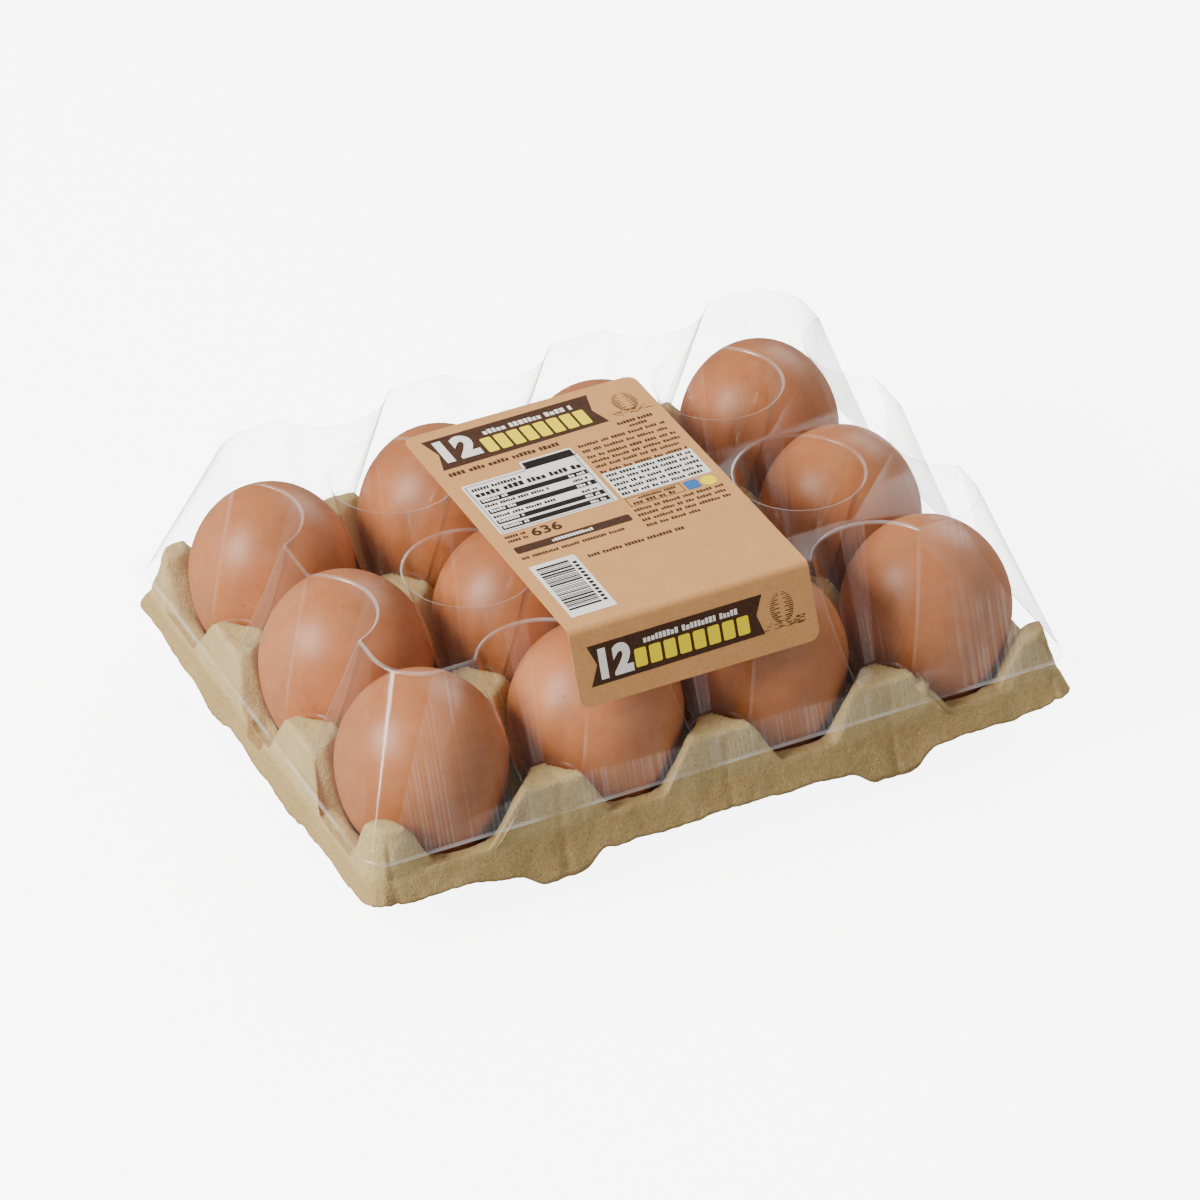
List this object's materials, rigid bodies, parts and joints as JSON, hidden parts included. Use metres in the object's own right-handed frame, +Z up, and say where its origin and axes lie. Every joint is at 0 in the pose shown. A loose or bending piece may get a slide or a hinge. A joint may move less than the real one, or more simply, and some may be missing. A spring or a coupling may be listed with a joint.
{
  "type": "egg carton with eggs",
  "caption": "Shut pack of brown eggs: moulded pulp tray, clear formed lid with cone recesses and a kraft paper band over its top and front",
  "frame": {"origin": "on the table under the middle of the pack, at the bottom centre of its bounding box", "axes": "+X along the long side with four cups, +Y from the band's flap to the back, +Z up"},
  "size_m": [0.2076, 0.1576, 0.0711],
  "materials": {
    "pulp": "matte moulded pulp",
    "film": "clear glossy plastic film",
    "paper": "matte kraft paper",
    "shell": "satin eggshell"
  },
  "bodies": {
    "root": {"tray": "pulp", "lid": "film", "label": "paper", "egg_1_1": "shell", "egg_1_2": "shell", "egg_1_3": "shell", "egg_1_4": "shell", "egg_2_1": "shell", "egg_2_2": "shell", "egg_2_3": "shell", "egg_2_4": "shell", "egg_3_1": "shell", "egg_3_2": "shell", "egg_3_3": "shell", "egg_3_4": "shell"}
  },
  "joints": []
}
